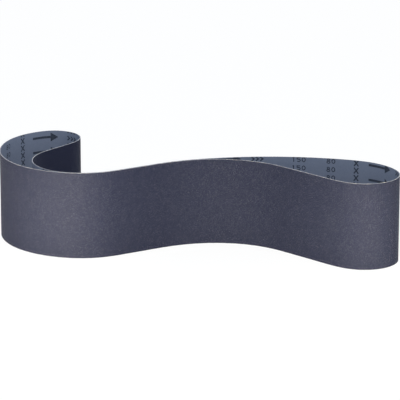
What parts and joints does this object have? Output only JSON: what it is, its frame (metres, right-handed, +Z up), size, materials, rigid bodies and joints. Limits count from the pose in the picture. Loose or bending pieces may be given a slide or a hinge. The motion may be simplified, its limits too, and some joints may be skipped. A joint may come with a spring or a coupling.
{
  "type": "sanding belt",
  "caption": "Endless cloth-backed sanding belt standing loosely on edge; dark grain coat outside, bare backing inside, slanted taped butt joint.",
  "frame": {"origin": "centre of the bounding box, at the level of the cut edge that the belt stands on", "axes": "+X along the loop's length towards the smaller loop, +Y towards the back wall, +Z up across the belt's width"},
  "size_m": [0.6815, 0.3312, 0.15],
  "materials": {
    "grain_coat": "cloth coated with dark blue-grey abrasive grain in resin, matt with a faint sparkle",
    "cloth_backing": "slate blue resin-filled twill, matt, printed in dark grey",
    "tape_film": "thin reinforced film, satin"
  },
  "bodies": {
    "root": {"abrasive_belt": "grain_coat", "splice_tape": "tape_film"}
  },
  "joints": []
}
